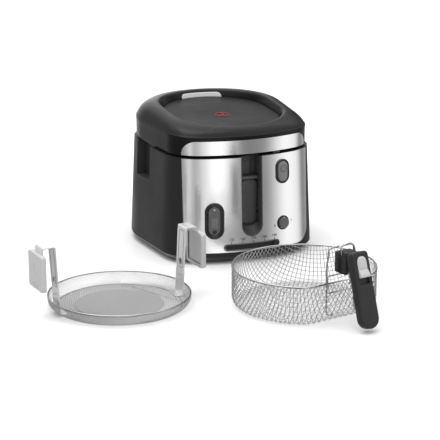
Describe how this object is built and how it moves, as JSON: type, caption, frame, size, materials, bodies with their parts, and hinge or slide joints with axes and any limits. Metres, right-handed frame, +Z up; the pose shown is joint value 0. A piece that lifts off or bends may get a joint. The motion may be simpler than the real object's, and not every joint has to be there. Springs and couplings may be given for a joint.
{
  "type": "deep fryer",
  "caption": "Countertop electric deep fryer with hinged lid, removable oil bowl, frying basket with folding handle, and a lift-out oil filter on hooked straps.",
  "frame": {"origin": "middle of the set's footprint, on the surface that everything stands on", "axes": "+Z up, the fryer's front and the basket towards -Y, the oil filter towards -X"},
  "size_m": [0.5648, 0.7337, 0.247],
  "materials": {
    "black_plastic": "fine moulded grain, satin",
    "lid_disc_plastic": "smooth satin",
    "handle_plastic": "fine moulded grain",
    "grey_plastic": "light grey satin",
    "control_plastic": "dark grey satin",
    "display_glass": "clear grey window",
    "satin_steel": "fine brushed",
    "strap_steel": "bright rolled",
    "wire_mesh": "plated wire",
    "rubber_black": "matte",
    "bowl_aluminium": "satin",
    "inner_steel": "dull",
    "inner_plastic": "natural",
    "circuit_board": "solder mask",
    "filter_foam": "carbon foam"
  },
  "bodies": {
    "fryer": {"outer_casing": "black_plastic", "front_panel": "satin_steel", "handle_channel": "black_plastic", "left_grip_pocket": "black_plastic", "right_grip_pocket": "black_plastic", "base_cover": "black_plastic", "rubber_feet": "rubber_black", "base_screws": "strap_steel", "top_deck": "black_plastic", "timer_bezel": "black_plastic", "timer_face": "control_plastic", "display_window": "display_glass", "release_bezel": "black_plastic", "dial_bezel": "black_plastic", "dial_switch": "inner_plastic", "slider_bezel": "black_plastic", "slider_rheostat": "inner_plastic", "timer_board": "circuit_board", "oil_bowl": "bowl_aluminium", "heat_shield": "bowl_aluminium", "heating_element": "inner_steel", "heat_spreader": "bowl_aluminium", "temperature_sensor": "inner_steel", "thermal_fuse": "inner_plastic", "terminal_block": "inner_plastic", "cord_gland": "black_plastic", "hinge_brackets": "black_plastic", "hinge_pin": "strap_steel"},
    "timer_key": {"timer_button": "control_plastic"},
    "release_key": {"release_button": "control_plastic"},
    "latch": {"latch_bolt": "inner_plastic"},
    "dial": {"selector_dial": "control_plastic"},
    "slider": {"temperature_slider": "control_plastic"},
    "lid": {"lid_shell": "black_plastic", "lid_band": "satin_steel", "lid_liner": "bowl_aluminium", "lid_seal": "rubber_black", "lid_hook": "inner_plastic", "odour_filter": "filter_foam", "hinge_leaves": "black_plastic"},
    "cover": {"filter_cover": "lid_disc_plastic"},
    "cover_catch": {"cover_latch": "grey_plastic"},
    "basket": {"basket_mesh": "wire_mesh", "basket_rim": "strap_steel", "basket_frame": "strap_steel", "handle_bracket": "black_plastic", "handle_pin": "strap_steel"},
    "handle": {"handle_front": "handle_plastic", "handle_back": "handle_plastic", "handle_screws": "strap_steel"},
    "catch": {"handle_catch": "grey_plastic"},
    "oil_filter": {"filter_mesh": "wire_mesh", "filter_rim": "strap_steel", "left_strap": "strap_steel", "right_strap": "strap_steel", "left_grip": "grey_plastic", "right_grip": "grey_plastic", "strap_rivets": "strap_steel"}
  },
  "joints": [
    {"name": "lid_hinge", "type": "hinge", "parent": "fryer", "child": "lid", "pos_m": [0.137, 0.3604, 0.187], "axis": [-1, 0, 0], "range_deg": [0, 85]},
    {"name": "cover_lift", "type": "slide", "parent": "lid", "child": "cover", "axis": [0, 0, 1], "range_m": [0, 0.06]},
    {"name": "cover_latch_press", "type": "slide", "parent": "lid", "child": "cover_catch", "axis": [0, 1, 0], "range_m": [0, 0.002], "stiffness_N_per_m": 400, "springref_m": -0.001},
    {"name": "release_press", "type": "slide", "parent": "fryer", "child": "release_key", "axis": [-0.2215, 0.9751, 0], "range_m": [0, 0.003], "stiffness_N_per_m": 400, "springref_m": -0.001},
    {"name": "latch_slide", "type": "slide", "parent": "fryer", "child": "latch", "axis": [0, 1, 0], "range_m": [0, 0.003]},
    {"name": "timer_press", "type": "slide", "parent": "fryer", "child": "timer_key", "axis": [0.247, 0.969, 0], "range_m": [0, 0.0012], "stiffness_N_per_m": 300, "springref_m": -0.001},
    {"name": "dial_turn", "type": "hinge", "parent": "fryer", "child": "dial", "pos_m": [0.19571, 0.03799, 0.0615], "axis": [0.2215, -0.9751, 0], "range_deg": [0, 90]},
    {"name": "temperature_slide", "type": "hinge", "parent": "fryer", "child": "slider", "pos_m": [0.137, 0.2964, 0.0288], "axis": [0, 0, 1], "range_deg": [-18.4, 0]},
    {"name": "basket_lift", "type": "slide", "parent": "fryer", "child": "basket", "axis": [0, 0, 1], "range_m": [0, 0.3]},
    {"name": "handle_fold", "type": "hinge", "parent": "basket", "child": "handle", "pos_m": [0.15646, -0.32758, 0.105], "axis": [-0.9763, -0.2164, 0], "range_deg": [0, 72]},
    {"name": "handle_catch_slide", "type": "slide", "parent": "handle", "child": "catch", "axis": [0.0651, -0.2936, -0.9537], "range_m": [0, 0.006], "stiffness_N_per_m": 150, "springref_m": -0.003},
    {"name": "filter_lift", "type": "slide", "parent": "fryer", "child": "oil_filter", "axis": [0, 0, 1], "range_m": [0, 0.3]}
  ],
  "couplings": [
    {"joint": "latch_slide", "follows": "release_press", "ratio": 1}
  ]
}
